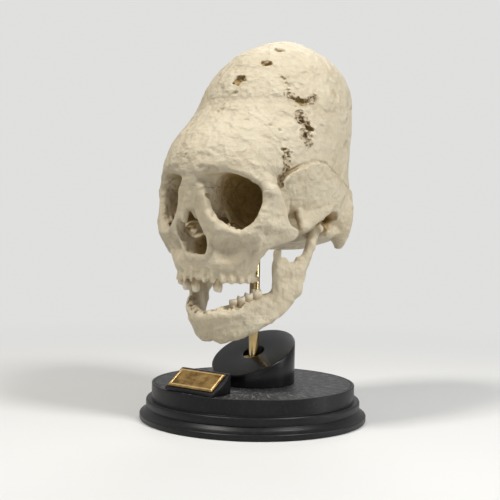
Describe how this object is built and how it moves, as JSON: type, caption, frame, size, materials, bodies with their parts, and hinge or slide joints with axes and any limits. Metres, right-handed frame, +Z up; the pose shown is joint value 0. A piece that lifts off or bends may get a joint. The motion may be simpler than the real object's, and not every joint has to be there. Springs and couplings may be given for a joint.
{
  "type": "elongated skull on a stand",
  "caption": "Human skull with a tall elongated braincase, its lower jaw hinged, held on a brass rod over a round black moulded plinth with a slant-cut collar and a label wedge.",
  "frame": {"origin": "centre of the underside of the plinth, on the table", "axes": "+Z up along the rod, -Y the way the face looks, +X the skull's own left"},
  "size_m": [0.18, 0.1826, 0.3006],
  "materials": {
    "bone": "matt ivory bone colour of a cast replica, tan in the hollows",
    "tooth": "smooth cream",
    "black_satin": "satin black, turned",
    "black_cloth": "dull black with fine streaks",
    "brass": "polished",
    "old_brass": "dulled, bright border",
    "steel": "plain"
  },
  "bodies": {
    "stand": {"plinth": "black_satin", "felt_underlay": "black_cloth", "top_disc": "black_cloth", "collar": "black_satin", "rod_sleeve": "brass", "collar_screw_1": "steel", "collar_screw_2": "steel", "collar_screw_3": "steel", "label_wedge": "black_satin", "label_plate": "old_brass"},
    "rod": {"rod": "brass", "rod_washer": "steel", "rod_nut": "steel"},
    "cranium": {"frontal_bone": "bone", "parietal_bone_left": "bone", "parietal_bone_right": "bone", "occipital_bone": "bone", "temporal_bone_left": "bone", "temporal_bone_right": "bone", "sphenoid_bone": "bone", "ethmoid_bone": "bone", "cheek_bone_left": "bone", "cheek_bone_right": "bone", "nasal_bone_left": "bone", "nasal_bone_right": "bone", "upper_jaw_left": "bone", "upper_jaw_right": "bone", "upper_canine_left": "tooth", "upper_incisor_right": "tooth", "upper_canine_right": "tooth", "upper_premolar_right": "tooth", "rod_socket": "brass"},
    "jaw": {"lower_jaw": "bone", "lower_canine_left": "tooth", "lower_premolar_left_1": "tooth", "lower_premolar_left_2": "tooth", "lower_molar_left": "tooth"}
  },
  "joints": [
    {"name": "swivel", "type": "hinge", "parent": "stand", "child": "rod", "pos_m": [0, 0, 0.05], "axis": [0, 0, 1], "continuous": true},
    {"name": "lift_off", "type": "slide", "parent": "rod", "child": "cranium", "axis": [0, 0, 1], "range_m": [0, 0.04]},
    {"name": "jaw_hinge", "type": "hinge", "parent": "cranium", "child": "jaw", "pos_m": [0, 0.009, 0.152], "axis": [1, 0, 0], "range_deg": [-5, 5]}
  ]
}
